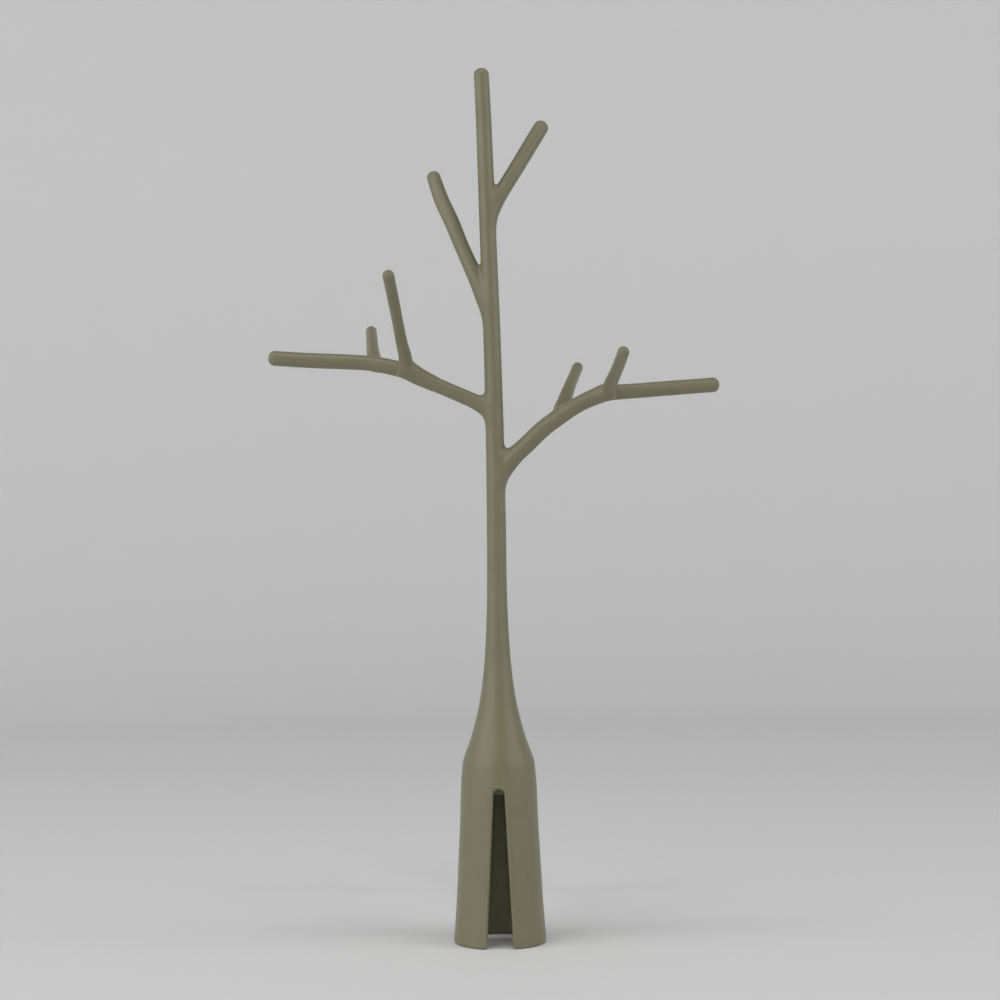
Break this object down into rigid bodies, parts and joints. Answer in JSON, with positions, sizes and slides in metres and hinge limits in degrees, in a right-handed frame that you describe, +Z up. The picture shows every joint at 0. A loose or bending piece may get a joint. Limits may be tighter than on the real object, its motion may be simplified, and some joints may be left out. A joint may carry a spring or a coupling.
{
  "type": "bottle drying rack tree",
  "caption": "Slim moulded tree: a round trunk flares into a hollow slotted foot, and thin round branches with domed tips hold small bottle parts to dry.",
  "frame": {"origin": "on the foot's axis, in the plane that the foot's rim stands on", "axes": "+Z up along the trunk to the leader's tip, +X to the right along the two boughs seen from the front, +Y to the back"},
  "size_m": [0.1285, 0.058, 0.2474],
  "materials": {
    "tree_plastic": "warm grey-taupe injection moulded plastic, satin, with a very fine moulded grain"
  },
  "bodies": {
    "root": {"foot_crown": "tree_plastic", "rear_leg": "tree_plastic", "front_left_leg": "tree_plastic", "front_right_leg": "tree_plastic", "trunk": "tree_plastic", "leader": "tree_plastic", "upper_left_branch": "tree_plastic", "upper_right_branch": "tree_plastic", "left_bough": "tree_plastic", "left_outer_prong": "tree_plastic", "left_front_prong": "tree_plastic", "left_rear_prong": "tree_plastic", "right_bough": "tree_plastic", "right_outer_prong": "tree_plastic", "right_front_prong": "tree_plastic", "right_rear_prong": "tree_plastic"}
  },
  "joints": []
}
